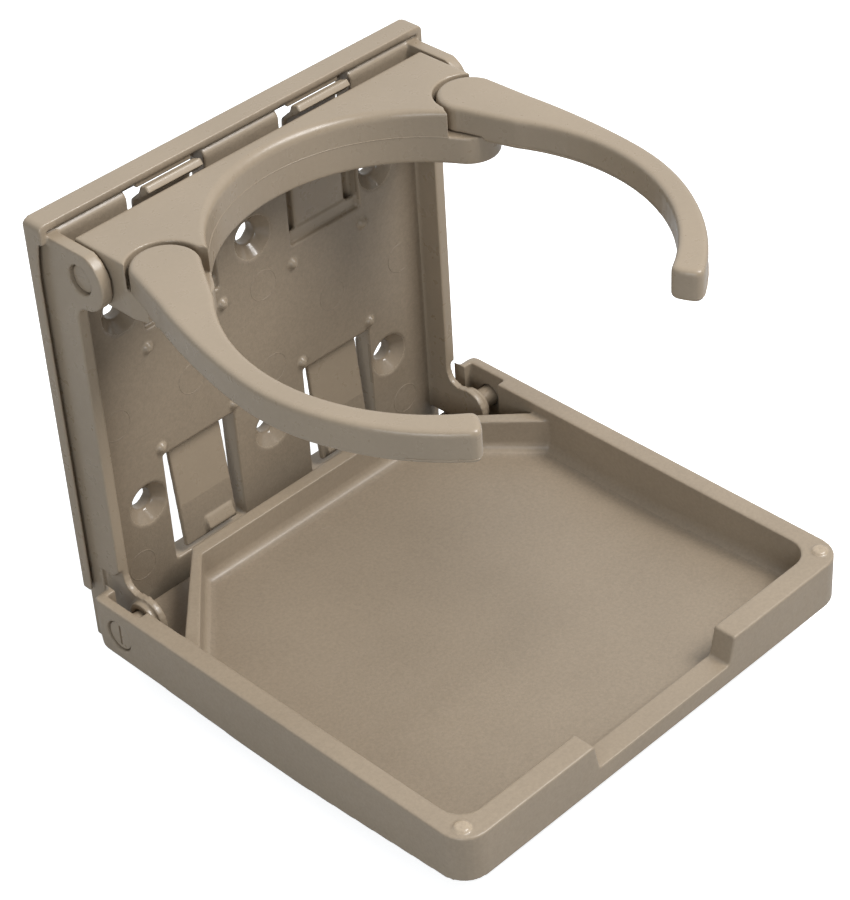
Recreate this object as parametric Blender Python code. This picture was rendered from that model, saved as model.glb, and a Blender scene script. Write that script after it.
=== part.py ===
"""Fold-flat drink holder: a back plate, a yoke with two swinging arms, and a tray.

Frame: X runs across the plate, -Y points away from the wall, +Z is up. The origin
is on the plate's mounting face, midway across it. All sizes are in metres.
"""
import math

import bmesh
import bpy
from mathutils import Matrix, Vector

MM = 0.001
GAP = 0.3 * MM                     # air left between neighbouring pieces

# back plate
FLANGE_HALF = 48.4 * MM            # half width over the side lips
FLANGE_TOP = 41.4 * MM
FLANGE_UNDER = 39.8 * MM           # underside of the top flange's front edge
FLANGE_DEPTH = 5.0 * MM
FLANGE_CORNER = 1.2 * MM
LIP_END = -44.8 * MM               # lower end of the side lips
LIP_DEPTH = 2.6 * MM
LIP_WALL = 0.6 * MM
SLAB_HALF = 46.9 * MM
SLAB_TOP = 39.4 * MM
SLAB_BOTTOM = -58.0 * MM
FACE = 5.05 * MM                   # distance from the wall to the plate's face
SHEET = 2.3 * MM                   # thickness of the plate's face
RIM = 3.0 * MM                     # rim and ribs behind the face
WALL_IN = 44.4 * MM                # side walls between the ears
WALL_OUT = 46.9 * MM
WALL_FRONT = 10.65 * MM
WALL_END = -38.5 * MM
HOLE_PITCH_X = 33.3 * MM
HOLE_ROWS = (15.4 * MM, -30.4 * MM)
HOLE_RADIUS = 2.4 * MM
HEAD_RADIUS = 4.9 * MM             # countersink at the plate's face
BOSS_BACK_RADIUS = 6.6 * MM        # screw bosses behind the face
TAB_CENTRE = 18.9 * MM
TAB_HALF = 6.8 * MM
WINDOW_HALF = 9.4 * MM
UPPER_WINDOW = (8.6 * MM, 37.0 * MM)
LOWER_WINDOW = (-47.5 * MM, -21.3 * MM)
LEAF = 1.4 * MM                    # thickness of the leaf tabs
CATCH_HALF = 3.5 * MM              # catch block on the lower leaf
CATCH_SHIFT = 2.2 * MM
WEB_TOP = 29.0 * MM                # the upper windows' side gaps are closed below this
FRAME = 1.4 * MM                   # thickness of the walls round the windows
BEAD_RADIUS = 1.1 * MM             # rolled tip of the upper leaf
BEAD_REACH = 8.75 * MM
BEAD_ANGLE = 40.0
NUB_RADIUS = 1.15 * MM

# hinge axes, both along X
YOKE_PIN = Vector((0.0, -12.9 * MM, 32.9 * MM))
TRAY_PIN = Vector((0.0, -16.5 * MM, -45.35 * MM))
UPPER_EAR = 6.3 * MM
UPPER_EAR_TOP = 38.8 * MM
LOWER_EAR = 4.6 * MM
LOWER_EAR_IN = 44.4 * MM
LOWER_EAR_OUT = 45.9 * MM
EAR_BOSS = 3.9 * MM                # spacer between the ear and the tray's cheek
EAR_BOSS_OUT = 47.2 * MM
YOKE_PIN_RADIUS = 2.8 * MM
YOKE_PIN_SET_IN = 0.9 * MM
TRAY_PIN_RADIUS = 2.3 * MM
TRAY_PIN_END = 45.3 * MM           # inner end of the tray pin, in a blind bore
TRAY_HEAD_RADIUS = 3.1 * MM
TRAY_HEAD_SET_IN = 0.5 * MM

# yoke
YOKE_TOP = 38.84 * MM
YOKE_TIER = 33.3 * MM              # top face of the lugs under the arms
YOKE_BOTTOM = 27.4 * MM
YOKE_REAR = -8.75 * MM
YOKE_HALF = 43.9 * MM
RING_CENTRE_Y = -48.95 * MM
RING_RADIUS = 35.9 * MM
PIVOT_X = 38.55 * MM               # arm pivots, along Z
PIVOT_Y = -27.5 * MM
POCKET_RADIUS = 7.2 * MM
LUG_X = 36.84 * MM
LUG_Y = -28.54 * MM
LUG_RADIUS = 6.2 * MM

# arms
ARM_TOP = 38.84 * MM
ARM_STEP = YOKE_TIER + GAP
ARM_BOTTOM = 32.3 * MM
ARM_ROUND = 1.0 * MM
BOSS_RADIUS = 6.5 * MM
ARM_ARC_Y = -59.3 * MM             # centre of the arm's arcs
ARM_INNER = 40.35 * MM
ARM_OUTER = 45.2 * MM
ARM_FLARE = 10.2 * MM              # extra width where the arm meets its boss
ARM_START = -38.0                  # degrees round the arc, boss to tip
ARM_END = 62.8
LEFT_ARM_SWING = 13.7              # degrees the left arm stands open
ARM_CLEARANCE = 8.6 * MM           # the arm's underside stays clear of the lug

# tray
TRAY_HALF = 53.2 * MM
TRAY_FRONT = -110.2 * MM
TRAY_RIM = -39.1 * MM
TRAY_REAR = -8.4 * MM
RIM_SIDE = 4.3 * MM
RIM_FRONT = 5.0 * MM
TRAY_CORNER = 5.5 * MM
FLOOR = 2.0 * MM
NOTCH_HALF = 19.6 * MM
NOTCH_BOTTOM = -45.3 * MM
RIDGE_TOP = -41.6 * MM
RIDGE_HALF = 28.5 * MM
RIDGE_Y = -12.0 * MM
RIDGE_END_Y = -33.7 * MM
RIDGE_WALL = 1.5 * MM              # half thickness
POCKET_REAR = -11.4 * MM           # pocket in the cheek round the ear's spacer
POCKET_FRONT = -21.2 * MM
POCKET_SKIN = 2.2 * MM
SPACE_FLOOR = -50.2 * MM           # floor of the space behind the low rear wall
WELL_FILLET = 2.2 * MM             # round where the floor meets the walls


# ---------------------------------------------------------------- helpers

def clear_scene():
    for item in list(bpy.data.objects):
        bpy.data.objects.remove(item, do_unlink=True)


def new_collection(name):
    group = bpy.data.collections.new(name)
    bpy.context.scene.collection.children.link(group)
    return group


def plastic(name, colour, roughness, metallic=0.0):
    material = bpy.data.materials.new(name)
    material.use_nodes = True
    shader = material.node_tree.nodes["Principled BSDF"]
    shader.inputs["Base Color"].default_value = (*colour, 1.0)
    shader.inputs["Roughness"].default_value = roughness
    shader.inputs["Metallic"].default_value = metallic
    return material


def add_mesh(name, mesh, group, material=None):
    item = bpy.data.objects.new(name, mesh)
    group.objects.link(item)
    if material:
        mesh.materials.append(material)
    return item


def arc(centre, radius, start, end, steps):
    """Points on a circle, from start to end in degrees."""
    points = []
    for i in range(steps + 1):
        angle = math.radians(start + (end - start) * i / steps)
        points.append((centre[0] + radius * math.cos(angle),
                       centre[1] + radius * math.sin(angle)))
    return points


PLANES = {
    # an outline's u and v axes and its depth, as world directions
    "XY": Matrix(((1, 0, 0), (0, 1, 0), (0, 0, 1))).transposed(),
    "YZ": Matrix(((0, 1, 0), (0, 0, 1), (1, 0, 0))).transposed(),
    "ZX": Matrix(((0, 0, 1), (1, 0, 0), (0, 1, 0))).transposed(),
}


def prism_mesh(name, points, plane, low, high, rounding=0.0):
    """A flat outline with thickness, between low and high along its normal."""
    curve = bpy.data.curves.new(name, "CURVE")
    curve.dimensions = "2D"
    curve.fill_mode = "BOTH"
    curve.extrude = (high - low) / 2 - rounding
    curve.bevel_depth = rounding
    curve.bevel_resolution = 2
    curve.offset = -rounding
    spline = curve.splines.new("POLY")
    spline.points.add(len(points) - 1)
    for point, (u, v) in zip(spline.points, points):
        point.co = (u, v, 0.0, 1.0)
    spline.use_cyclic_u = True
    guide = bpy.data.objects.new(name, curve)
    bpy.context.scene.collection.objects.link(guide)
    bpy.context.view_layer.update()
    mesh = bpy.data.meshes.new_from_object(guide.evaluated_get(
        bpy.context.evaluated_depsgraph_get()))
    bpy.data.objects.remove(guide, do_unlink=True)
    work = bmesh.new()
    work.from_mesh(mesh)
    bmesh.ops.remove_doubles(work, verts=work.verts, dist=0.002 * MM)
    bmesh.ops.translate(work, verts=work.verts, vec=(0, 0, (low + high) / 2))
    bmesh.ops.transform(work, verts=work.verts, matrix=PLANES[plane].to_4x4())
    bmesh.ops.recalc_face_normals(work, faces=work.faces)
    work.to_mesh(mesh)
    work.free()
    return mesh


def box_mesh(name, low, high):
    mesh = bpy.data.meshes.new(name)
    work = bmesh.new()
    bmesh.ops.create_cube(work, size=1.0)
    size = [high[i] - low[i] for i in range(3)]
    centre = [(high[i] + low[i]) / 2 for i in range(3)]
    bmesh.ops.scale(work, verts=work.verts, vec=size)
    bmesh.ops.translate(work, verts=work.verts, vec=centre)
    work.to_mesh(mesh)
    work.free()
    return mesh


def side_box(name, side, low, high):
    """A box given for the right side, mirrored when side is -1."""
    x = sorted((side * low[0], side * high[0]))
    return box_mesh(name, (x[0], low[1], low[2]), (x[1], high[1], high[2]))


def round_mesh(name, axis, centre, length, radius, end_radius=None, sides=32):
    """A cylinder or cone whose axis is X, Y or Z; radius is at the low end."""
    end_radius = radius if end_radius is None else end_radius
    mesh = bpy.data.meshes.new(name)
    work = bmesh.new()
    bmesh.ops.create_cone(work, cap_ends=True, segments=sides, radius1=radius,
                          radius2=end_radius, depth=length)
    turn = {"Z": Matrix.Identity(3),
            "X": Matrix.Rotation(math.radians(90), 3, "Y"),
            "Y": Matrix.Rotation(math.radians(-90), 3, "X")}[axis]
    bmesh.ops.rotate(work, verts=work.verts, matrix=turn)
    bmesh.ops.translate(work, verts=work.verts, vec=centre)
    work.to_mesh(mesh)
    work.free()
    return mesh


def side_round(name, side, pin, inner, outer, radius, sides=32):
    """A cylinder along X on a hinge axis, between two distances from the middle."""
    centre = (side * (inner + outer) / 2, pin.y, pin.z)
    return round_mesh(name, "X", centre, outer - inner, radius, sides=sides)


def ball_mesh(name, centre, radius):
    mesh = bpy.data.meshes.new(name)
    work = bmesh.new()
    bmesh.ops.create_uvsphere(work, u_segments=10, v_segments=7, radius=radius)
    bmesh.ops.translate(work, verts=work.verts, vec=centre)
    work.to_mesh(mesh)
    work.free()
    return mesh


def boolean(item, mesh, operation, guides):
    tool = bpy.data.objects.new("tool_" + mesh.name, mesh)
    guides.objects.link(tool)
    tool.hide_render = True
    tool.display_type = "WIRE"
    change = item.modifiers.new(mesh.name, "BOOLEAN")
    change.operation = operation
    change.solver = "EXACT"
    change.object = tool


def join(item, mesh, guides):
    boolean(item, mesh, "UNION", guides)


def cut(item, mesh, guides):
    boolean(item, mesh, "DIFFERENCE", guides)


def finish_mesh(item):
    """Fix the shape as one clean mesh and shade its round faces smooth."""
    bpy.context.view_layer.update()
    mesh = bpy.data.meshes.new_from_object(item.evaluated_get(
        bpy.context.evaluated_depsgraph_get()))
    item.modifiers.clear()
    item.data = mesh
    work = bmesh.new()
    work.from_mesh(mesh)
    bmesh.ops.remove_doubles(work, verts=work.verts, dist=0.004 * MM)
    bmesh.ops.dissolve_degenerate(work, edges=work.edges, dist=0.004 * MM)
    bmesh.ops.dissolve_limit(work, angle_limit=math.radians(0.4), verts=work.verts,
                             edges=work.edges, delimit=set())
    bmesh.ops.triangulate(work, faces=work.faces)
    work.to_mesh(mesh)
    work.free()
    mesh.shade_smooth()
    mesh.set_sharp_from_angle(angle=math.radians(30))


def hang_on(items, name, point, group):
    """Parent pieces to an empty that stands on their joint's axis."""
    pivot = bpy.data.objects.new(name, None)
    pivot.empty_display_size = 5 * MM
    pivot.location = point
    group.objects.link(pivot)
    bpy.context.view_layer.update()
    for item in items:
        item.parent = pivot
        item.matrix_parent_inverse = pivot.matrix_world.inverted()


def turned(mesh, point, degrees):
    """Turn a mesh about a vertical axis through a point."""
    mesh.transform(Matrix.Translation(point) @ Matrix.Rotation(
        math.radians(degrees), 4, "Z") @ Matrix.Translation(-Vector(point)))
    return mesh


def mirrored(mesh):
    mesh.transform(Matrix.Scale(-1, 4, (1, 0, 0)))
    mesh.flip_normals()
    return mesh


# ---------------------------------------------------------------- back plate

def blend_to_ear(pin, ear, up):
    """Concave blend between an ear and the wall's front edge: centre and angle."""
    blend = 3.2 * MM
    y = -WALL_FRONT - blend
    reach = math.sqrt((ear + blend) ** 2 - (pin.y - y) ** 2)
    z = pin.z + reach if up else pin.z - reach
    return (y, z), blend, math.degrees(math.atan2(z - pin.z, y - pin.y))


def wall_profile():
    """Side wall with the upper ear, in the YZ plane."""
    centre, blend, angle = blend_to_ear(YOKE_PIN, UPPER_EAR, False)
    crown = math.degrees(math.asin((UPPER_EAR_TOP - YOKE_PIN.z) / UPPER_EAR))
    points = [(-1.0 * MM, UPPER_EAR_TOP)]
    points += arc((YOKE_PIN.y, YOKE_PIN.z), UPPER_EAR, 180 - crown, 360 + angle, 20)
    points += arc(centre, blend, angle + 180, 0, 4)[1:]
    points += [(-WALL_FRONT, WALL_END + 2 * MM), (-WALL_FRONT + 2 * MM, WALL_END)]
    points += [(-1.0 * MM, WALL_END)]
    return points


def lower_ear_profile():
    """Lower ear, blended into the end of the wall, in the YZ plane."""
    centre, blend, angle = blend_to_ear(TRAY_PIN, LOWER_EAR, True)
    points = [(-1.0 * MM, -30.0 * MM), (-WALL_FRONT, -30.0 * MM)]
    points += arc(centre, blend, 0, angle - 180, 4)
    points += arc((TRAY_PIN.y, TRAY_PIN.z), LOWER_EAR, angle, 270, 14)[1:]
    points += [(-1.0 * MM, TRAY_PIN.z - LOWER_EAR)]
    return points


def face_profile():
    """The plate's face in the YZ plane: rounded shoulder on top, sloped foot."""
    radius = 1.9 * MM
    points = arc((-FACE + radius, SLAB_TOP - radius), radius, 90, 180, 5)
    points += [(-FACE, SLAB_BOTTOM + 3.4 * MM), (-FACE + 0.8 * MM, SLAB_BOTTOM + 1.4 * MM)]
    points += [(-FACE + SHEET, SLAB_BOTTOM + 0.5 * MM), (-FACE + SHEET, SLAB_TOP)]
    return points


def lip_profile():
    """Side lip seen from the side: it deepens towards the top corner."""
    points = [(0.0, FLANGE_TOP - 2.6 * MM), (-FLANGE_DEPTH + 0.9 * MM, FLANGE_TOP - 2.6 * MM)]
    for i in range(7):
        share = i / 6
        depth = LIP_DEPTH + (FLANGE_DEPTH - 0.9 * MM - LIP_DEPTH) * (1 - share) ** 2
        points.append((-depth, FLANGE_TOP - (3.0 + 11.0 * share) * MM))
    points += [(-LIP_DEPTH, LIP_END + 0.5 * MM), (-LIP_DEPTH + 0.5 * MM, LIP_END)]
    points += [(0.0, LIP_END)]
    return points


def top_flange_outline():
    """Top flange seen from the front, with round upper corners."""
    centre_z = FLANGE_TOP - FLANGE_CORNER
    right = arc((FLANGE_HALF - FLANGE_CORNER, centre_z), FLANGE_CORNER, 0, 90, 6)
    left = [(-x, z) for x, z in reversed(right)]
    under = [(-FLANGE_HALF, FLANGE_UNDER - 2.4 * MM), (-SLAB_HALF, FLANGE_UNDER - 2.4 * MM),
             (-SLAB_HALF, FLANGE_UNDER), (SLAB_HALF, FLANGE_UNDER),
             (SLAB_HALF, FLANGE_UNDER - 2.4 * MM), (FLANGE_HALF, FLANGE_UNDER - 2.4 * MM)]
    return [(z, x) for x, z in right + left + under]


def upper_leaf_profile():
    """Upper tab: a flat spring whose tip hooks over the yoke's rear corner."""
    swing = (YOKE_PIN.y, YOKE_PIN.z)
    front_y = -FACE + 1.6 * MM
    inside = abs(front_y - YOKE_PIN.y)
    points = [(front_y, 7.0 * MM)]
    points += arc(swing, inside, 0, 18, 3)
    points += arc(swing, 7.75 * MM, 38, 52, 3)
    points += arc(swing, 9.2 * MM, 52, 38, 3)
    points += arc(swing, inside + LEAF, 14, 0, 2)
    points += [(front_y + LEAF, 7.0 * MM)]
    return points


def lower_leaf_profile():
    """Lower tab: a flat spring that leans forward."""
    top = LOWER_WINDOW[1] + 1.5 * MM
    root = -FACE + 1.85 * MM
    tip = -FACE - 0.4 * MM
    return [(root + LEAF, top), (root, top), (root, LOWER_WINDOW[1] - 1.0 * MM),
            (tip, -45.6 * MM), (tip + 0.6 * MM, -46.2 * MM), (tip + LEAF, -46.0 * MM)]


def catch_profile():
    """Small catch block near the lower tab's tip."""
    tip = -FACE
    return [(tip + 1.0 * MM, -41.2 * MM), (tip - 0.4 * MM, -41.8 * MM),
            (tip - 1.5 * MM, -44.2 * MM), (tip - 0.5 * MM, -45.3 * MM),
            (tip + 1.0 * MM, -45.5 * MM)]


def build_plate(group, guides, material):
    face = prism_mesh("back_plate", face_profile(), "YZ", -SLAB_HALF, SLAB_HALF)
    plate = add_mesh("back_plate", face, group, material)
    back = -FACE + SHEET - 0.3 * MM
    inner = SLAB_HALF - RIM
    # rim and ribs behind the face
    bars = [((-SLAB_HALF, SLAB_TOP - RIM), (SLAB_HALF, FLANGE_UNDER + 0.3 * MM)),
            ((-SLAB_HALF, SLAB_BOTTOM), (SLAB_HALF, SLAB_BOTTOM + RIM)),
            ((-SLAB_HALF, SLAB_BOTTOM + 1 * MM), (-inner, FLANGE_UNDER)),
            ((inner, SLAB_BOTTOM + 1 * MM), (SLAB_HALF, FLANGE_UNDER)),
            ((-SLAB_HALF + 1 * MM, -3.5 * MM), (SLAB_HALF - 1 * MM, 3.5 * MM)),
            ((-1.2 * MM, SLAB_BOTTOM + 1 * MM), (1.2 * MM, SLAB_TOP - 1 * MM))]
    for (x0, z0), (x1, z1) in bars:
        join(plate, box_mesh("rib", (x0, back, z0), (x1, 0.0, z1)), guides)
    for column in (-1, 0, 1):
        for row in HOLE_ROWS:
            boss = round_mesh("boss", "Y", (column * HOLE_PITCH_X, back / 2, row), -back,
                              BOSS_BACK_RADIUS, sides=24)
            join(plate, boss, guides)
    join(plate, prism_mesh("top_flange", top_flange_outline(), "ZX", -FLANGE_DEPTH, 0.0),
         guides)
    for side in (-1, 1):
        low, high = sorted((side * (FLANGE_HALF - LIP_WALL), side * FLANGE_HALF))
        join(plate, prism_mesh("side_lip", lip_profile(), "YZ", low, high), guides)
        web = side_box("web", side, (SLAB_HALF - 1 * MM, -0.9 * MM, LIP_END),
                       (FLANGE_HALF - 0.1 * MM, 0.0, FLANGE_TOP - 4 * MM))
        join(plate, web, guides)
        low, high = sorted((side * WALL_IN, side * WALL_OUT))
        join(plate, prism_mesh("wall", wall_profile(), "YZ", low, high), guides)
        low, high = sorted((side * LOWER_EAR_IN, side * LOWER_EAR_OUT))
        join(plate, prism_mesh("lower_ear", lower_ear_profile(), "YZ", low, high), guides)
        join(plate, side_round("spacer", side, TRAY_PIN, LOWER_EAR_OUT - 0.5 * MM,
                               EAR_BOSS_OUT, EAR_BOSS), guides)
    for side in (-1, 1):
        middle = side * TAB_CENTRE
        for low, high in ((UPPER_WINDOW[0], SLAB_TOP - 0.5 * MM), LOWER_WINDOW):
            surround = box_mesh("surround", (middle - WINDOW_HALF - FRAME, back, low - FRAME),
                                (middle + WINDOW_HALF + FRAME, -0.4 * MM, high + 0.2 * MM))
            join(plate, surround, guides)
    for side in (-1, 1):
        middle = side * TAB_CENTRE
        for low, high in (UPPER_WINDOW, LOWER_WINDOW):
            window = box_mesh("window", (middle - WINDOW_HALF, -12 * MM, low),
                              (middle + WINDOW_HALF, 5 * MM, high))
            cut(plate, window, guides)
        shoulder = box_mesh("window_top", (middle - WINDOW_HALF, -12 * MM, 30 * MM),
                            (middle + WINDOW_HALF, -1.6 * MM, FLANGE_UNDER + 0.1 * MM))
        cut(plate, shoulder, guides)
        for low, high in ((-WINDOW_HALF - 0.2 * MM, -TAB_HALF + 0.2 * MM),
                          (TAB_HALF - 0.2 * MM, WINDOW_HALF + 0.2 * MM)):
            web = box_mesh("gap_web", (middle + low, -2.0 * MM, UPPER_WINDOW[0] - 0.5 * MM),
                           (middle + high, -0.5 * MM, WEB_TOP))
            join(plate, web, guides)
        strip = box_mesh("strip", (middle - TAB_HALF, -4.5 * MM, 38.7 * MM),
                         (middle + TAB_HALF, -1.2 * MM, FLANGE_UNDER + 0.4 * MM))
        join(plate, strip, guides)
        angle = math.radians(BEAD_ANGLE)
        place = (middle, YOKE_PIN.y + BEAD_REACH * math.cos(angle),
                 YOKE_PIN.z + BEAD_REACH * math.sin(angle))
        for profile in (upper_leaf_profile(), lower_leaf_profile()):
            leaf = prism_mesh("leaf", profile, "YZ", middle - TAB_HALF, middle + TAB_HALF)
            join(plate, leaf, guides)
        join(plate, round_mesh("bead", "X", place, 2 * TAB_HALF - 0.4 * MM, BEAD_RADIUS,
                               sides=20), guides)
        catch = middle - side * CATCH_SHIFT
        join(plate, prism_mesh("catch", catch_profile(), "YZ", catch - CATCH_HALF,
                               catch + CATCH_HALF), guides)
        ledge = box_mesh("ledge", (middle - WINDOW_HALF - 0.2 * MM, -FACE + 1.2 * MM,
                                   UPPER_WINDOW[0] - 0.5 * MM),
                         (middle + WINDOW_HALF + 0.2 * MM, -FACE + SHEET - 0.2 * MM,
                          UPPER_WINDOW[0] + 2.4 * MM))
        join(plate, ledge, guides)
        cut(plate, side_round("upper_bore", side, YOKE_PIN, 42 * MM, 50 * MM,
                              YOKE_PIN_RADIUS + 0.25 * MM), guides)
        cut(plate, side_round("lower_bore", side, TRAY_PIN, TRAY_PIN_END - GAP, 50 * MM,
                              TRAY_PIN_RADIUS + 0.25 * MM), guides)
    for column in (-1, 0, 1):
        for row in HOLE_ROWS:
            x = column * HOLE_PITCH_X
            drill = round_mesh("drill", "Y", (x, -FACE / 2, row), 9 * MM, HOLE_RADIUS,
                               sides=28)
            sink = round_mesh("sink", "Y", (x, -FACE + 1.17 * MM, row), 2.54 * MM,
                              HEAD_RADIUS + 0.1 * MM, HOLE_RADIUS - 0.1 * MM, sides=28)
            cut(plate, drill, guides)
            cut(plate, sink, guides)
    for side in (-1, 1):
        for edge in (-1, 1):
            for z in (4.8 * MM, -19.2 * MM):
                x = side * TAB_CENTRE + edge * 9.6 * MM
                join(plate, ball_mesh("nub", (x, -FACE, z), NUB_RADIUS), guides)
    finish_mesh(plate)
    return plate


# ---------------------------------------------------------------- yoke

def yoke_outline():
    """Half-moon seen from above, with a round lug at each horn."""
    reach = math.degrees(math.atan2(LUG_Y - RING_CENTRE_Y, LUG_X))
    right = [(YOKE_HALF, YOKE_REAR), (YOKE_HALF, LUG_Y + 5.5 * MM)]
    right += arc((LUG_X, LUG_Y), LUG_RADIUS, 12, reach - 180 + 1.0, 20)
    points = list(right)
    points += arc((0.0, RING_CENTRE_Y), RING_RADIUS, reach + 1.0, 179.0 - reach, 44)
    points += [(-x, y) for x, y in reversed(right)]
    return points


def pocket_mesh(side):
    """Space above one lug: a round pocket that opens forward and inward."""
    centre = (PIVOT_X, PIVOT_Y)
    points = arc(centre, POCKET_RADIUS, 42, 180, 20)
    points += [(PIVOT_X - POCKET_RADIUS - 0.8 * MM, PIVOT_Y - 1.2 * MM),
               (PIVOT_X - 8.4 * MM, PIVOT_Y - 2.6 * MM),
               (PIVOT_X - 9.6 * MM, PIVOT_Y - 22 * MM),
               (PIVOT_X + 14 * MM, PIVOT_Y - 22 * MM), (PIVOT_X + 14 * MM, PIVOT_Y + 4.8 * MM)]
    mesh = prism_mesh("pocket", points, "XY", YOKE_TIER, YOKE_TOP + 5 * MM)
    return mirrored(mesh) if side < 0 else mesh


def build_yoke(group, guides, material):
    body = prism_mesh("yoke", yoke_outline(), "XY", YOKE_BOTTOM, YOKE_TOP, 0.5 * MM)
    yoke = add_mesh("yoke", body, group, material)
    for side in (-1, 1):
        cut(yoke, pocket_mesh(side), guides)
    for side in (-1, 1):
        cut(yoke, side_round("pin_seat", side, YOKE_PIN, 36 * MM, 46 * MM,
                             YOKE_PIN_RADIUS + 0.2 * MM), guides)
        bore = round_mesh("pivot_bore", "Z", (side * PIVOT_X, PIVOT_Y, YOKE_TIER), 20 * MM,
                          2.1 * MM, sides=24)
        cut(yoke, bore, guides)
        seat = round_mesh("head_seat", "Z", (side * PIVOT_X, PIVOT_Y, YOKE_BOTTOM), 5.4 * MM,
                          4.5 * MM, sides=24)
        cut(yoke, seat, guides)
    finish_mesh(yoke)
    return yoke


# ---------------------------------------------------------------- arms

def arm_outer(angle):
    """Outer radius of the arm: flared at the boss, a little fuller at the tip."""
    flare = max(0.0, (8.0 - angle) / (8.0 - ARM_START))
    tip = max(0.0, (angle - 32.0) / (ARM_END - 32.0))
    return ARM_OUTER + ARM_FLARE * flare ** 2.2 + 1.1 * MM * tip ** 1.5


def arm_edges():
    """Inner edge from boss to tip, the blunt tip, and the outer edge."""
    centre = (0.0, ARM_ARC_Y)
    inner = []
    outer = []
    steps = 26
    for i in range(steps + 1):
        angle = ARM_START + (ARM_END - ARM_START) * i / steps
        inner += arc(centre, ARM_INNER, -angle, -angle, 1)[:1]
        outer += arc(centre, arm_outer(angle), -angle, -angle, 1)[:1]
    middle = (arm_outer(ARM_END) + ARM_INNER) / 2
    half = (arm_outer(ARM_END) - ARM_INNER) / 2
    tip = []
    for i in range(1, 10):
        turn = math.radians(-90 + 18 * i)
        across = half * math.copysign(abs(math.sin(turn)) ** 0.7, math.sin(turn))
        along = 1.9 * MM * abs(math.cos(turn)) ** 0.7
        angle = ARM_END + math.degrees(along / middle)
        tip += arc(centre, middle + across, -angle, -angle, 1)[:1]
    return inner, tip, outer


def arm_outline():
    """Right arm seen from above, with its round boss."""
    inner, tip, outer = arm_edges()
    boss = arc((PIVOT_X, PIVOT_Y), BOSS_RADIUS, 12, 207, 24)
    return boss + inner[3:] + tip + list(reversed(outer[3:]))


def build_arm(name, side, group, guides, material):
    pivot = Vector((side * PIVOT_X, PIVOT_Y, 0.0))

    def placed(mesh):
        if side > 0:
            return mesh
        return turned(mirrored(mesh), pivot, -LEFT_ARM_SWING)

    body = prism_mesh(name, arm_outline(), "XY", ARM_BOTTOM, ARM_TOP, ARM_ROUND)
    arm = add_mesh(name, placed(body), group, material)
    clear = round_mesh("lug_clearance", "Z", (pivot.x, pivot.y, ARM_STEP - 3 * MM), 6 * MM,
                       ARM_CLEARANCE)
    cut(arm, clear, guides)
    hole = round_mesh("screw_hole", "Z", (pivot.x, pivot.y, ARM_STEP), 8.4 * MM, 1.55 * MM,
                      sides=24)
    cut(arm, hole, guides)
    finish_mesh(arm)
    return arm


# ---------------------------------------------------------------- tray

UNDERSIDE = (
    # distance from the wall and height of the crowned underside
    (-10.0 * MM, -51.0 * MM),
    (-24.0 * MM, -51.1 * MM),
    (-40.0 * MM, -51.7 * MM),
    (-54.0 * MM, -52.15 * MM),
    (-66.0 * MM, -52.1 * MM),
    (-80.0 * MM, -51.4 * MM),
    (-94.0 * MM, -50.5 * MM),
    (-110.2 * MM, -49.6 * MM),
)


def underside(y):
    """Height of the tray's underside at a distance y from the wall."""
    for (y0, z0), (y1, z1) in zip(UNDERSIDE, UNDERSIDE[1:]):
        if y >= y1:
            return z0 + (z1 - z0) * min(1.0, max(0.0, (y0 - y) / (y0 - y1)))
    return UNDERSIDE[-1][1]


def side_profile(rear, front, lift, top):
    """Tray seen from the side, between the crowned underside and a flat top."""
    points = [(rear, top)]
    steps = 16
    for i in range(steps + 1):
        y = rear + (front - rear) * i / steps
        points.append((y, underside(y) + lift))
    points.append((front, top))
    return points


def cheek_cutter_profile():
    """Everything behind the rear end of a cheek: rounded on top, sloped below."""
    low = underside(TRAY_REAR)
    points = [(10 * MM, -80 * MM), (10 * MM, -20 * MM), (TRAY_REAR - 3.0 * MM, -20 * MM)]
    points += arc((TRAY_REAR - 3.0 * MM, TRAY_RIM - 3.0 * MM), 3.0 * MM, 90, 0, 5)
    points += arc((TRAY_REAR - 3.6 * MM, low + 1.6 * MM), 1.6 * MM, 0, -90, 4)
    points += [(TRAY_REAR - 3.6 * MM, -80 * MM)]
    return points


def corner_cutter_outline():
    """Everything outside the tray's plan, with round corners front and rear."""
    rear = 3.0 * MM
    far = TRAY_HALF + 2 * MM
    points = [(-far, 10 * MM), (-far, -130 * MM), (far, -130 * MM), (far, 10 * MM)]
    points += arc((TRAY_HALF - rear, TRAY_REAR - rear), rear, 90, 0, 4)
    points += arc((TRAY_HALF - TRAY_CORNER, TRAY_FRONT + TRAY_CORNER), TRAY_CORNER, 0, -90, 6)
    points += arc((TRAY_CORNER - TRAY_HALF, TRAY_FRONT + TRAY_CORNER), TRAY_CORNER,
                  -90, -180, 6)
    points += arc((rear - TRAY_HALF, TRAY_REAR - rear), rear, 180, 90, 4)
    return points


def ridge_line(offset, inset):
    """Centre line of the low rear wall seen from above, moved back by offset."""
    end = TRAY_HALF - RIM_SIDE + inset
    return [(end, RIDGE_END_Y + offset * 1.5), (RIDGE_HALF, RIDGE_Y + offset),
            (-RIDGE_HALF, RIDGE_Y + offset), (-end, RIDGE_END_Y + offset * 1.5)]


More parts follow.
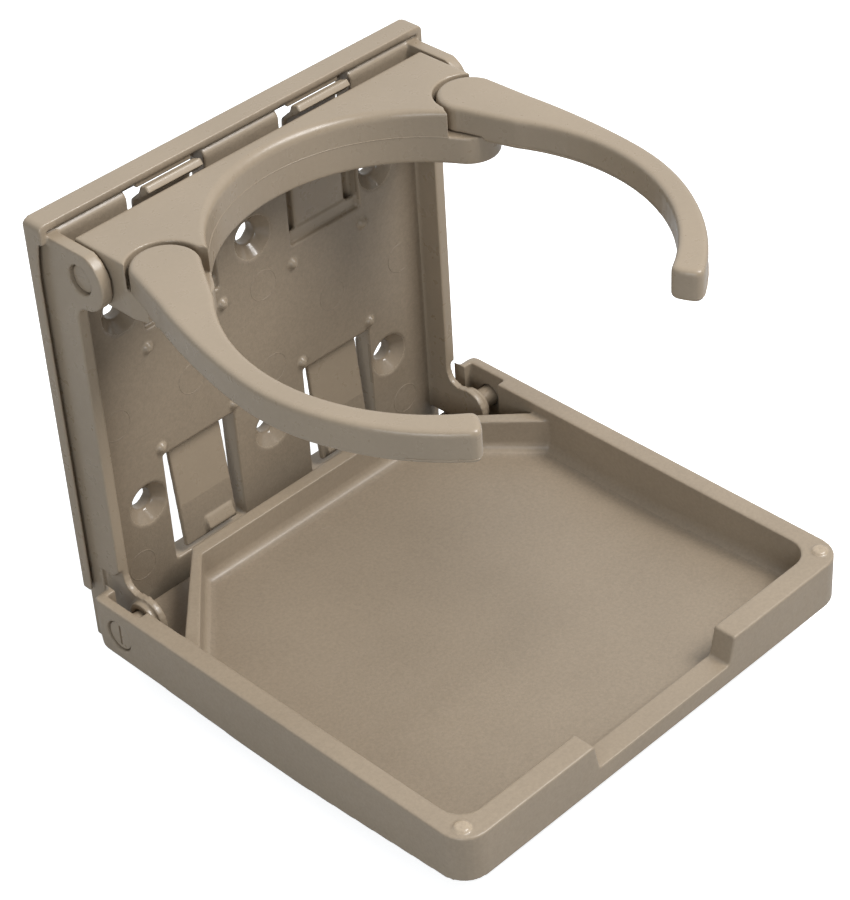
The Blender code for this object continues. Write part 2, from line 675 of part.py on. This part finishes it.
def build_well(guides):
    """The hollow of the tray: flat rim inside, floor parallel to the underside."""
    inner_x = TRAY_HALF - RIM_SIDE
    inner_y = TRAY_FRONT + RIM_FRONT
    outline = ridge_line(-RIDGE_WALL, 0.0)
    outline += arc((-inner_x + 5 * MM, inner_y + 5 * MM), 5 * MM, 180, 270, 5)
    outline += arc((inner_x - 5 * MM, inner_y + 5 * MM), 5 * MM, -90, 0, 5)
    well = add_mesh("tool_well", prism_mesh("well", outline, "XY", -60 * MM, -20 * MM), guides)
    well.hide_render = True
    well.display_type = "WIRE"
    below = prism_mesh("below_floor", side_profile(0.0, -120 * MM, FLOOR, -70 * MM), "YZ",
                       -60 * MM, 60 * MM)
    cut(well, below, guides)
    finish_mesh(well)
    work = bmesh.new()
    work.from_mesh(well.data)
    bmesh.ops.dissolve_limit(work, angle_limit=math.radians(0.4), verts=work.verts,
                             edges=work.edges)
    foot = [edge for edge in work.edges
            if min(face.normal.z for face in edge.link_faces) < -0.9
            and max(face.normal.z for face in edge.link_faces) > -0.3]
    bmesh.ops.bevel(work, geom=foot, offset=WELL_FILLET, segments=3, profile=0.5,
                    affect="EDGES")
    work.to_mesh(well.data)
    work.free()
    return well.data


def build_tray(group, guides, material):
    block = prism_mesh("tray", side_profile(TRAY_REAR, TRAY_FRONT, 0.0, TRAY_RIM), "YZ",
                       -TRAY_HALF, TRAY_HALF)
    tray = add_mesh("tray", block, group, material)
    cut(tray, prism_mesh("plan", corner_cutter_outline(), "XY", -70 * MM, -20 * MM), guides)
    cut(tray, build_well(guides), guides)
    inner_x = TRAY_HALF - RIM_SIDE
    # open space behind the low rear wall, where the plate's ears stand
    behind = ridge_line(RIDGE_WALL, 0.0) + [(-inner_x, 5 * MM), (inner_x, 5 * MM)]
    cut(tray, prism_mesh("ear_space", behind, "XY", SPACE_FLOOR, -20 * MM), guides)
    above = ridge_line(-3 * MM, -0.1 * MM)
    above += [(-inner_x + 0.1 * MM, 5 * MM), (inner_x - 0.1 * MM, 5 * MM)]
    cut(tray, prism_mesh("ridge_top", above, "XY", RIDGE_TOP, -20 * MM), guides)
    for side in (-1, 1):
        low, high = sorted((side * (inner_x + 0.2 * MM), side * (TRAY_HALF + 1 * MM)))
        cut(tray, prism_mesh("cheek_end", cheek_cutter_profile(), "YZ", low, high), guides)
        pocket = side_box("pocket", side, (inner_x - 2 * MM, POCKET_FRONT, -49.9 * MM),
                          (TRAY_HALF - POCKET_SKIN, POCKET_REAR, -20 * MM))
        cut(tray, pocket, guides)
        cut(tray, side_round("pin_hole", side, TRAY_PIN, 46 * MM, 56 * MM,
                             TRAY_PIN_RADIUS + 0.2 * MM), guides)
        cut(tray, side_round("head_seat", side, TRAY_PIN, TRAY_HALF - 1.5 * MM, 56 * MM,
                             TRAY_HEAD_RADIUS + GAP), guides)
        button = round_mesh("button", "Z", (side * 49.9 * MM, -106.4 * MM,
                                            TRAY_RIM + 0.2 * MM), 0.8 * MM, 1.8 * MM,
                            1.4 * MM, sides=18)
        join(tray, button, guides)
    slope = 1.4 * MM
    notch = [(NOTCH_HALF + slope, -30 * MM), (NOTCH_HALF, TRAY_RIM),
             (NOTCH_HALF - slope, NOTCH_BOTTOM)]
    notch += [(-x, z) for x, z in reversed(notch)]
    cut(tray, prism_mesh("notch", [(z, x) for x, z in notch], "ZX", TRAY_FRONT - 2 * MM,
                         TRAY_FRONT + RIM_FRONT + 1.5 * MM), guides)
    finish_mesh(tray)
    return tray


# ---------------------------------------------------------------- pins and screws

def build_yoke_pin(name, side, group, material):
    """Plain pin pressed into the yoke; its end shows in the ear."""
    pin = add_mesh(name, side_round(name, side, YOKE_PIN, 36.5 * MM,
                                    WALL_OUT - YOKE_PIN_SET_IN, YOKE_PIN_RADIUS), group,
                   material)
    finish_mesh(pin)
    return pin


def build_tray_pin(name, side, group, guides, material):
    """Pin with a slotted head that sits in the cheek's outer face."""
    face = TRAY_HALF - TRAY_HEAD_SET_IN
    pin = add_mesh(name, side_round(name, side, TRAY_PIN, TRAY_PIN_END, face - 0.5 * MM,
                                    TRAY_PIN_RADIUS), group, material)
    join(pin, side_round("head", side, TRAY_PIN, TRAY_HALF - 1.3 * MM, face,
                         TRAY_HEAD_RADIUS), guides)
    slot = side_box("slot", side, (face - 0.5 * MM, TRAY_PIN.y - 0.3 * MM,
                                   TRAY_PIN.z - 2.4 * MM),
                    (face + 1 * MM, TRAY_PIN.y + 0.3 * MM, TRAY_PIN.z + 2.4 * MM))
    cut(pin, slot, guides)
    finish_mesh(pin)
    return pin


def build_pivot_screw(name, side, group, guides, material):
    """Shouldered screw put in from below, through the lug into the arm."""
    x = side * PIVOT_X
    shank = round_mesh(name, "Z", (x, PIVOT_Y, 32.2 * MM), 8.2 * MM, 1.3 * MM, sides=24)
    screw = add_mesh(name, shank, group, material)
    head = round_mesh("screw_head", "Z", (x, PIVOT_Y, 28.4 * MM), 1.4 * MM, 3.2 * MM, 3.6 * MM,
                      sides=24)
    join(screw, head, guides)
    for turn in (0, 90):
        bar = box_mesh("cross", (-2.0 * MM, -0.4 * MM, 27.5 * MM),
                       (2.0 * MM, 0.4 * MM, 28.4 * MM))
        bar.transform(Matrix.Translation((x, PIVOT_Y, 0)) @ Matrix.Rotation(
            math.radians(turn), 4, "Z"))
        cut(screw, bar, guides)
    finish_mesh(screw)
    return screw


def build_washer(name, side, group, guides, material):
    """Spring washer between the screw head and the lug."""
    x = side * PIVOT_X
    ring = round_mesh(name, "Z", (x, PIVOT_Y, 29.6 * MM), 0.4 * MM, 4.0 * MM, sides=28)
    washer = add_mesh(name, ring, group, material)
    cut(washer, round_mesh("eye", "Z", (x, PIVOT_Y, 29.6 * MM), 2 * MM, 1.7 * MM, sides=24),
        guides)
    finish_mesh(washer)
    return washer


def main():
    clear_scene()
    holder = new_collection("folding_drink_holder")
    guides = new_collection("cutters")
    taupe = (0.33, 0.27, 0.2)
    build_plate(holder, guides, plastic("plate_plastic", taupe, 0.5))
    tray_items = [build_tray(holder, guides, plastic("tray_plastic", taupe, 0.45))]
    yoke_items = [build_yoke(holder, guides, plastic("yoke_plastic", taupe, 0.42))]
    arms = []
    for word, side in (("left", -1), ("right", 1)):
        arm = build_arm(word + "_arm", side, holder, guides,
                        plastic(word + "_arm_plastic", taupe, 0.4))
        arms.append((word, side, arm))
        yoke_items.append(build_yoke_pin("yoke_pin_" + word, side, holder,
                                         plastic("yoke_pin_" + word + "_plastic", taupe, 0.4)))
        tray_items.append(build_tray_pin("tray_pin_" + word, side, holder, guides,
                                         plastic("tray_pin_" + word + "_plastic", taupe, 0.4)))
        steel = plastic("pivot_screw_" + word + "_steel", (0.5, 0.5, 0.5), 0.3, 1.0)
        yoke_items.append(build_pivot_screw("pivot_screw_" + word, side, holder, guides, steel))
        steel = plastic("pivot_washer_" + word + "_steel", (0.5, 0.5, 0.5), 0.35, 1.0)
        yoke_items.append(build_washer("pivot_washer_" + word, side, holder, guides, steel))
    hang_on(yoke_items, "yoke_axis", YOKE_PIN, holder)
    hang_on(tray_items, "tray_axis", TRAY_PIN, holder)
    for word, side, arm in arms:
        hang_on([arm], word + "_arm_axis", Vector((side * PIVOT_X, PIVOT_Y, ARM_TOP)), holder)


main()
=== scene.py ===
"""Looks for the folding drink holder: soft-edged mouldings, plastic grain and a pale studio.

Each piece is a finely remeshed skin over its CAD solid, so that every edge gets the
small round that a moulded or formed part has. Fine raised lines stand for the parting
lines and the ejector marks. Lengths are in metres, and the mounting face is at y = 0
with the holder facing -Y.
"""

import math

import bmesh
import bpy
from mathutils import Matrix, Vector


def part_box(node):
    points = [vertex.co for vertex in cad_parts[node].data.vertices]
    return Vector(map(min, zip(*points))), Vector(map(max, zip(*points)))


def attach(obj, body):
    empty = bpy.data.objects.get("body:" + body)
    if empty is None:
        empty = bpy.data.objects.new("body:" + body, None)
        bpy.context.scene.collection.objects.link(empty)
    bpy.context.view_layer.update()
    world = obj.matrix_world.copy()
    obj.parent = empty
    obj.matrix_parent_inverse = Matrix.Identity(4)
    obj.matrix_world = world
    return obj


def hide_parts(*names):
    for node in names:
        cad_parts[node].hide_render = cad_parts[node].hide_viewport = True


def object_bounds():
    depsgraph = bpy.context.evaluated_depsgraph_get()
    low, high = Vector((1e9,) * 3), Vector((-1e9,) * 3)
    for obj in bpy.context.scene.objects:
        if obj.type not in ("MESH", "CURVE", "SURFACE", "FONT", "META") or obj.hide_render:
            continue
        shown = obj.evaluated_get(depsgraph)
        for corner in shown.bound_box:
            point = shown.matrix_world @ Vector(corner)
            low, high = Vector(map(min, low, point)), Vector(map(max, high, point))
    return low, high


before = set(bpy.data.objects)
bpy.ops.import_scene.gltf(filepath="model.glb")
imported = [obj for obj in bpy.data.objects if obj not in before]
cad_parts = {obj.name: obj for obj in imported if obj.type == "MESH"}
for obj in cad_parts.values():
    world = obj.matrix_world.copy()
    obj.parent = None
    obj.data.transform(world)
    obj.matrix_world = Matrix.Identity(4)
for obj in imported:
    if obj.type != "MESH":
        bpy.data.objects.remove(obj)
cad_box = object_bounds()

MM = 0.001

# camera, worked out from the object's perspective
CAMERA_PLACE = Vector((-0.27408, -0.34347, 0.29362))
CAMERA_TARGET = Vector((-0.00222, -0.0522, -0.01136))
CAMERA_ROLL = 3.72                 # degrees
CAMERA_LENS = 106.32               # mm, on a 36 mm sensor
SENSOR = 36.0

# studio light, as seen by the object
BACKDROP = (0.55, 0.6, 0.6)        # direction of the brightest part of the room
ROOM_LOW = 0.12
ROOM_HIGH = 0.9
ROOM_START = -0.4                  # cosines to the backdrop between which the room brightens
ROOM_FULL = 0.9
ROOM_TINT = (0.93, 0.97, 1.0)
FLOOR_BOUNCE = 0.43
FLOOR_GLOW = 0.75
FLOOR_SIZE = 3.0
FLOOR_DROP = 0.4 * MM              # the studio floor lies this far below the object
LIT_POINT = (0.0, -0.05, 0.0)      # the lamps' common target

# plastic
TAUPE = (0.30, 0.236, 0.168)
SPECK_SCALE = 1500.0               # noise features per metre
CLOUD_SCALE = 38.0
GLOSS_SCALE = 420.0
PLATING_SCALE = 900.0
NOISE_DARK = 0.3                   # the span that most noise values keep to
NOISE_LIGHT = 0.7

# back plate
PLATE_FACE = -5.05 * MM
PLATE_FLOOR_HALF = 44.5 * MM
PLATE_FLOOR_FOOT = -56.0 * MM
HOLE_ROWS = (15.4 * MM, -30.4 * MM)
HOLE_COLUMNS = (0.0, 33.3 * MM)
HOLE_REACH = 5.0 * MM              # half the square that holds a countersink
MIDDLE_MARKS = ((1.3, 3.7), (1.8, -16.6))                    # x and z in mm
PAIRED_MARKS = ((18.9, -7.8), (38.2, -8.4), (37.0, -43.8))

# yoke and arms
RING_CENTRE = Vector((0.0, -48.95 * MM, 33.28 * MM))
RING_RADIUS = 35.9 * MM
RING_EDGE = 2.0 * MM               # widest radius on the ring's upper edge
RING_SPAN = 32.0 * MM              # the edge is rounded between -x and +x of this
RING_TAPER = 0.6
RING_LINE = (33.0, 147.0)          # degrees covered by the yoke's parting line
PARTING_HEIGHT = 33.25 * MM
PARTING_SINK = 0.07 * MM

# tray
TRAY_FLOOR = -50.1 * MM
TRAY_FLOOR_LIMIT = -46.0 * MM      # level faces below this are floor
CROWN_MIDDLE = 59.5 * MM           # distance of the floor's lowest part from the wall
CROWN_FLAT = 6.0 * MM
CROWN_REACH = 34.5 * MM
CROWN_RISE = 1.0 * MM
CROWN_POWER = 1.6
BUTTON_HEIGHT = 0.6 * MM
BUTTON_FOOT = 0.12 * MM
BUTTON_REAR = -103.0 * MM
TRAY_MARKS = ((-2.0, -97.4), (-1.5, -22.2))                  # x and y in mm

# ejector marks and parting lines
MARK_RADIUS = 3.3 * MM
MARK_SINK = 0.03 * MM
LINE = 0.09 * MM
YOKE_LINE = 0.1 * MM
YOKE_LINE_OUT = 0.02 * MM

# skins: voxel size and smoothing passes
PLATE_SKIN = (0.3 * MM, 3)
YOKE_SKIN = (0.24 * MM, 4)
ARM_SKIN = (0.2 * MM, 5)
TRAY_SKIN = (0.3 * MM, 3)
YOKE_PIN_SKIN = (0.12 * MM, 3)
TRAY_PIN_SKIN = (0.1 * MM, 2)
STEEL_SKIN = (0.08 * MM, 2)
WELD = 0.002 * MM

X = Vector((1.0, 0.0, 0.0))
Y = Vector((0.0, 1.0, 0.0))
Z = Vector((0.0, 0.0, 1.0))


# ---------------------------------------------------------------- materials

def nodes_of(name):
    """A new material, its node tree and its Principled shader."""
    material = bpy.data.materials.new(name)
    material.use_nodes = True
    tree = material.node_tree
    return material, tree, tree.nodes["Principled BSDF"]


def noise(tree, scale, detail=2.0, roughness=0.5):
    """Noise fixed to the object; the scale is in features per metre."""
    place = tree.nodes.new("ShaderNodeTexCoord")
    node = tree.nodes.new("ShaderNodeTexNoise")
    node.inputs["Scale"].default_value = scale
    node.inputs["Detail"].default_value = detail
    node.inputs["Roughness"].default_value = roughness
    tree.links.new(place.outputs["Object"], node.inputs["Vector"])
    return node.outputs["Fac"]


def spread(tree, value, low, high):
    """Map a noise value's usual span onto a range."""
    node = tree.nodes.new("ShaderNodeMapRange")
    node.inputs["From Min"].default_value = NOISE_DARK
    node.inputs["From Max"].default_value = NOISE_LIGHT
    node.inputs["To Min"].default_value = low
    node.inputs["To Max"].default_value = high
    tree.links.new(value, node.inputs["Value"])
    return node.outputs["Result"]


def plastic(name, brightness, roughness, grain_depth, grain_scale, mottle):
    """Moulded plastic: pigment mottle, spark-eroded grain and slightly uneven gloss."""
    colour = [c * brightness for c in TAUPE]
    material, tree, shader = nodes_of(name)
    shader.inputs["Specular IOR Level"].default_value = 0.45
    tint = tree.nodes.new("ShaderNodeMix")
    tint.data_type = "RGBA"
    tint.inputs["A"].default_value = (*[c * (1 - mottle) for c in colour], 1.0)
    tint.inputs["B"].default_value = (*[min(1.0, c * (1 + mottle)) for c in colour], 1.0)
    speck = noise(tree, SPECK_SCALE, 3.0, 0.65)
    tree.links.new(spread(tree, speck, 0.0, 1.0), tint.inputs["Factor"])
    cloud = tree.nodes.new("ShaderNodeMix")
    cloud.data_type = "RGBA"
    cloud.blend_type = "MULTIPLY"
    cloud.inputs["Factor"].default_value = 1.0
    shade = tree.nodes.new("ShaderNodeCombineColor")
    level = spread(tree, noise(tree, CLOUD_SCALE), 0.95, 1.04)
    for channel in ("Red", "Green", "Blue"):
        tree.links.new(level, shade.inputs[channel])
    tree.links.new(tint.outputs["Result"], cloud.inputs["A"])
    tree.links.new(shade.outputs["Color"], cloud.inputs["B"])
    tree.links.new(cloud.outputs["Result"], shader.inputs["Base Color"])
    gloss = spread(tree, noise(tree, GLOSS_SCALE, 3.0), roughness - 0.05, roughness + 0.07)
    tree.links.new(gloss, shader.inputs["Roughness"])
    bump = tree.nodes.new("ShaderNodeBump")
    bump.inputs["Strength"].default_value = 1.0
    bump.inputs["Distance"].default_value = grain_depth
    tree.links.new(noise(tree, grain_scale, 2.0, 0.6), bump.inputs["Height"])
    tree.links.new(bump.outputs["Normal"], shader.inputs["Normal"])
    return material


def plated_steel(name):
    """Bright plating with an uneven gloss."""
    material, tree, shader = nodes_of(name)
    shader.inputs["Base Color"].default_value = (0.6, 0.6, 0.61, 1.0)
    shader.inputs["Metallic"].default_value = 1.0
    gloss = spread(tree, noise(tree, PLATING_SCALE, 3.0), 0.22, 0.36)
    tree.links.new(gloss, shader.inputs["Roughness"])
    return material


def seen_by_camera(tree, lit, white):
    """Mix that gives the camera one shader and every other ray another."""
    path = tree.nodes.new("ShaderNodeLightPath")
    mix = tree.nodes.new("ShaderNodeMixShader")
    tree.links.new(path.outputs["Is Camera Ray"], mix.inputs["Fac"])
    tree.links.new(lit, mix.inputs[1])
    tree.links.new(white, mix.inputs[2])
    return mix.outputs["Shader"]


def studio_white(name):
    """Floor that the camera sees as nearly white and that bounces little light."""
    material, tree, shader = nodes_of(name)
    shader.inputs["Base Color"].default_value = (0.8, 0.8, 0.8, 1.0)
    shader.inputs["Roughness"].default_value = 0.9
    shader.inputs["Emission Color"].default_value = (1.0, 1.0, 1.0, 1.0)
    shader.inputs["Emission Strength"].default_value = FLOOR_GLOW
    dim = tree.nodes.new("ShaderNodeBsdfDiffuse")
    dim.inputs["Color"].default_value = (*[FLOOR_BOUNCE] * 3, 1.0)
    surface = seen_by_camera(tree, dim.outputs["BSDF"], shader.outputs["BSDF"])
    tree.links.new(surface, tree.nodes["Material Output"].inputs["Surface"])
    return material


def studio_sky(world):
    """White for the camera; for the object, a bright backdrop and a dim room opposite."""
    world.use_nodes = True
    tree = world.node_tree
    place = tree.nodes.new("ShaderNodeTexCoord")
    facing = tree.nodes.new("ShaderNodeVectorMath")
    facing.operation = "DOT_PRODUCT"
    facing.inputs[1].default_value = Vector(BACKDROP).normalized()
    tree.links.new(place.outputs["Generated"], facing.inputs[0])
    level = tree.nodes.new("ShaderNodeMapRange")
    level.interpolation_type = "SMOOTHSTEP"
    level.inputs["From Min"].default_value = ROOM_START
    level.inputs["From Max"].default_value = ROOM_FULL
    level.inputs["To Min"].default_value = ROOM_LOW
    level.inputs["To Max"].default_value = ROOM_HIGH
    tree.links.new(facing.outputs["Value"], level.inputs["Value"])
    lit = tree.nodes["Background"]
    lit.inputs["Color"].default_value = (*ROOM_TINT, 1.0)
    tree.links.new(level.outputs["Result"], lit.inputs["Strength"])
    plain = tree.nodes.new("ShaderNodeBackground")
    plain.inputs["Color"].default_value = (1.0, 1.0, 1.0, 1.0)
    sky = seen_by_camera(tree, lit.outputs["Background"], plain.outputs["Background"])
    tree.links.new(sky, tree.nodes["World Output"].inputs["Surface"])


# ---------------------------------------------------------------- geometry

def evaluated(piece):
    """A piece's mesh with its modifiers applied."""
    bpy.context.view_layer.update()
    depsgraph = bpy.context.evaluated_depsgraph_get()
    return bpy.data.meshes.new_from_object(piece.evaluated_get(depsgraph))


def skin(node, body, materials, fineness, reshape=None):
    """A soft-edged copy of a CAD solid, remeshed finely and relaxed a little."""
    voxel, passes = fineness
    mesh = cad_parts[node].data.copy()
    mesh.materials.clear()
    work = bmesh.new()
    work.from_mesh(mesh)
    bmesh.ops.remove_doubles(work, verts=work.verts, dist=WELD)
    bmesh.ops.recalc_face_normals(work, faces=work.faces)
    work.to_mesh(mesh)
    work.free()
    piece = bpy.data.objects.new(node + "_skin", mesh)
    bpy.context.scene.collection.objects.link(piece)
    remesh = piece.modifiers.new("skin", "REMESH")
    remesh.mode = "VOXEL"
    remesh.voxel_size = voxel
    relax = piece.modifiers.new("relax", "SMOOTH")
    relax.factor = 0.5
    relax.iterations = passes
    done = evaluated(piece)
    piece.modifiers.clear()
    piece.data = done
    if reshape:
        for vertex in done.vertices:
            reshape(vertex.co)
    for material in materials:
        done.materials.append(material)
    done.shade_smooth()
    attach(piece, body)
    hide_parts(node)
    return piece


def section_loop(mesh, height, every):
    """Longest outline of a mesh cut by a level plane, thinned to every few points."""
    work = bmesh.new()
    work.from_mesh(mesh)
    geometry = list(work.verts) + list(work.edges) + list(work.faces)
    bmesh.ops.bisect_plane(work, geom=geometry, plane_co=(0, 0, height), plane_no=(0, 0, 1),
                           clear_inner=True, clear_outer=True)
    left = set(work.verts)
    longest = []
    while left:
        vertex = min(left, key=lambda v: (v.co.x, v.co.y))
        loop = []
        while vertex is not None:
            left.discard(vertex)
            loop.append(vertex.co.copy())
            ahead = [edge.other_vert(vertex) for edge in vertex.link_edges]
            ahead = [v for v in ahead if v in left]
            vertex = ahead[0] if ahead else None
        if len(loop) > len(longest):
            longest = loop
    work.free()
    return longest[::every]


def paint(piece, index, test):
    """Give another material slot to the faces whose centre and normal pass a test."""
    for face in piece.data.polygons:
        if test(face.center, face.normal):
            face.material_index = index


def strip(name, points, radius, body, material, closed=False):
    """A fine raised line, such as a parting line or an ejector mark."""
    curve = bpy.data.curves.new(name, "CURVE")
    curve.dimensions = "3D"
    curve.bevel_depth = radius
    curve.bevel_resolution = 2
    curve.use_fill_caps = True
    spline = curve.splines.new("POLY")
    spline.points.add(len(points) - 1)
    for point, place in zip(spline.points, points):
        point.co = (*place, 1.0)
    spline.use_cyclic_u = closed
    guide = bpy.data.objects.new(name + "_guide", curve)
    bpy.context.scene.collection.objects.link(guide)
    mesh = evaluated(guide)
    bpy.data.objects.remove(guide, do_unlink=True)
    mesh.materials.clear()
    mesh.materials.append(material)
    mesh.shade_smooth()
    piece = bpy.data.objects.new(name, mesh)
    bpy.context.scene.collection.objects.link(piece)
    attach(piece, body)


def arc_points(centre, u, v, radius, start, end, count, gaps):
    """Points on an arc in the plane of u and v, whose span is divided into equal gaps."""
    points = []
    for i in range(count):
        angle = math.radians(start + (end - start) * i / gaps)
        points.append(centre + radius * (math.cos(angle) * u + math.sin(angle) * v))
    return points


def mark_ring(centre, u, v):
    """The closed ring of an ejector mark."""
    return arc_points(centre, u, v, MARK_RADIUS, 0.0, 360.0, 48, 48)


# ---------------------------------------------------------------- the mouldings

# name, brightness, roughness, grain depth, grain scale, mottle
smooth_taupe = plastic("smooth_taupe", 1.0, 0.3, 0.003 * MM, 1400.0, 0.025)
satin_taupe = plastic("satin_taupe", 0.97, 0.36, 0.015 * MM, 2600.0, 0.07)
grained_taupe = plastic("grained_taupe", 0.86, 0.42, 0.045 * MM, 3000.0, 0.09)
# the countersinks' plastic: glossy, and a little darker (0.9) as painted shade inside the
# recesses
glossy_shaded_taupe = plastic("glossy_shaded_taupe", 0.9, 0.14, 0.004 * MM, 1500.0, 0.05)
pale_taupe = plastic("pale_taupe", 1.25, 0.24, 0.02 * MM, 900.0, 0.12)
steel = plated_steel("plated_steel")


def build_plate():
    """Plate with a grained floor, glossy countersinks darkened with painted shade, and eight
    ejector marks.
    """
    looks = (smooth_taupe, grained_taupe, glossy_shaded_taupe)
    plate = skin("back_plate", "plate", looks, PLATE_SKIN)

    def on_floor(centre, normal):
        flat = normal.y < -0.9 and abs(centre.y - PLATE_FACE) < 0.5 * MM
        inside = abs(centre.x) < PLATE_FLOOR_HALF and centre.z > PLATE_FLOOR_FOOT
        return flat and inside

    def in_hole(centre, normal):
        near_row = min(abs(centre.z - row) for row in HOLE_ROWS) < HOLE_REACH
        near_column = min(abs(abs(centre.x) - x) for x in HOLE_COLUMNS) < HOLE_REACH
        return near_row and near_column and centre.y > PLATE_FACE + 0.25 * MM

    paint(plate, looks.index(grained_taupe), on_floor)
    # the countersinks get the glossy plastic whose darker colour is painted shade in the
    # recess
    paint(plate, looks.index(glossy_shaded_taupe), in_hole)
    marks = list(MIDDLE_MARKS) + [(side * x, z) for side in (-1, 1) for x, z in PAIRED_MARKS]
    for number, (x, z) in enumerate(marks):
        ring = mark_ring(Vector((x * MM, PLATE_FACE + MARK_SINK, z * MM)), X, Z)
        strip("plate_ejector_%d" % number, ring, LINE, "plate", grained_taupe,
              True)


def build_yoke():
    """Yoke with the ring's softly rounded upper edge and its parting line."""
    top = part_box("yoke")[1].z

    def soften_ring_edge(point):
        """Round the ring's upper edge widely, less so towards the horns."""
        if point.y < RING_CENTRE.y:
            return
        flat = Vector((point.x - RING_CENTRE.x, point.y - RING_CENTRE.y))
        radius = RING_EDGE * (1.0 - RING_TAPER * min(1.0, abs(point.x) / RING_SPAN) ** 3)
        across = flat.length - RING_RADIUS - radius
        rise = point.z - (top - radius)
        reach = math.hypot(across, rise)
        if across < 0 < rise and reach > radius and abs(point.x) < RING_SPAN:
            flat *= (RING_RADIUS + radius + across * radius / reach) / flat.length
            point.x = RING_CENTRE.x + flat.x
            point.y = RING_CENTRE.y + flat.y
            point.z = top - radius + rise * radius / reach

    skin("yoke", "yoke_frame", (smooth_taupe,), YOKE_SKIN, soften_ring_edge)
    line = arc_points(RING_CENTRE, X, Y, RING_RADIUS + YOKE_LINE_OUT, *RING_LINE, 60, 59)
    strip("yoke_parting_line", line, YOKE_LINE, "yoke_frame", smooth_taupe)


def build_arms():
    """Arms, each with a parting line all round, sunk so that it hardly stands proud."""
    for word in ("left", "right"):
        body = word + "_arm_body"
        arm = skin(word + "_arm", body, (smooth_taupe,), ARM_SKIN)
        line = section_loop(arm.data, PARTING_HEIGHT, 3)
        middle = sum(line, Vector()) / len(line)
        for point in line:
            point.x += math.copysign(PARTING_SINK, middle.x - point.x)
        strip(word + "_arm_parting_line", line, LINE, body, smooth_taupe, True)


def floor_height(y):
    """Height of the tray's crowned floor at a place along Y."""
    out = max(0.0, (abs(y + CROWN_MIDDLE) - CROWN_FLAT) / CROWN_REACH)
    return TRAY_FLOOR + CROWN_RISE * out ** CROWN_POWER


def build_tray():
    """Tray with a grained floor, two pale rest buttons and two ejector marks."""
    looks = (satin_taupe, grained_taupe, pale_taupe)
    tray = skin("tray", "tray_body", looks, TRAY_SKIN)
    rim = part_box("tray")[1].z - BUTTON_HEIGHT

    def on_floor(centre, normal):
        return normal.z > 0.9 and centre.z < TRAY_FLOOR_LIMIT

    def on_button(centre, normal):
        return centre.z > rim + BUTTON_FOOT and centre.y < BUTTON_REAR

    paint(tray, looks.index(grained_taupe), on_floor)
    paint(tray, looks.index(pale_taupe), on_button)
    for number, (x, y) in enumerate(TRAY_MARKS):
        ring = mark_ring(Vector((x * MM, y * MM, 0.0)), X, Y)
        for point in ring:
            point.z = floor_height(point.y) - MARK_SINK
        strip("tray_ejector_%d" % number, ring, LINE, "tray_body", grained_taupe,
              True)


def build_hardware():
    """Hinge pins, and the pivot screws and washers under the arms."""
    for word in ("left", "right"):
        skin("yoke_pin_" + word, "yoke_frame", (smooth_taupe,), YOKE_PIN_SKIN)
        skin("tray_pin_" + word, "tray_body", (smooth_taupe,), TRAY_PIN_SKIN)
        for part in ("pivot_screw_", "pivot_washer_"):
            skin(part + word, "yoke_frame", (steel,), STEEL_SKIN)


build_plate()
build_yoke()
build_arms()
build_tray()
build_hardware()


# ---------------------------------------------------------------- studio

def look(place, target, roll=0.0):
    """World matrix of something at a place whose -Z axis points at a target."""
    forward = (target - place).normalized()
    right = forward.cross(Z).normalized()
    up = right.cross(forward)
    c = math.cos(math.radians(roll))
    s = math.sin(math.radians(roll))
    right, up = c * right - s * up, s * right + c * up
    turn = Matrix((right, up, -forward)).transposed()
    return Matrix.Translation(place) @ turn.to_4x4()


def area(name, place, size, power, colour):
    """A square lamp that faces the object."""
    light = bpy.data.lights.new(name, "AREA")
    light.shape = "SQUARE"
    light.size = size
    light.energy = power
    light.color = colour
    lamp = bpy.data.objects.new(name, light)
    bpy.context.scene.collection.objects.link(lamp)
    lamp.matrix_world = look(Vector(place), Vector(LIT_POINT))


def build_studio():
    """Pale floor, the room's light, a key lamp and a soft cool lamp on the left."""
    mesh = bpy.data.meshes.new("studio_floor")
    work = bmesh.new()
    bmesh.ops.create_grid(work, x_segments=2, y_segments=2, size=FLOOR_SIZE)
    bmesh.ops.translate(work, verts=work.verts, vec=(0, 0, cad_box[0][2] - FLOOR_DROP))
    work.to_mesh(mesh)
    work.free()
    mesh.materials.append(studio_white("studio_white"))
    ground = bpy.data.objects.new("studio_floor", mesh)
    bpy.context.scene.collection.objects.link(ground)
    world = bpy.data.worlds.new("studio_world")
    studio_sky(world)
    bpy.context.scene.world = world
    area("key", (0.24, -0.4, 0.64), 0.34, 6.3, (1.0, 1.0, 1.0))
    area("left_soft", (-0.8, -0.5, 0.35), 0.5, 3.7, (0.86, 0.93, 1.0))


def build_camera():
    """The camera, a long lens from the front left and above."""
    data = bpy.data.cameras.new("camera")
    data.sensor_fit = "AUTO"
    data.sensor_width = SENSOR
    data.lens = CAMERA_LENS
    data.clip_start = 0.01
    camera = bpy.data.objects.new("camera", data)
    bpy.context.scene.collection.objects.link(camera)
    camera.matrix_world = look(CAMERA_PLACE, CAMERA_TARGET, CAMERA_ROLL)
    bpy.context.scene.camera = camera


build_studio()
build_camera()
bpy.context.scene.view_settings.view_transform = "Standard"
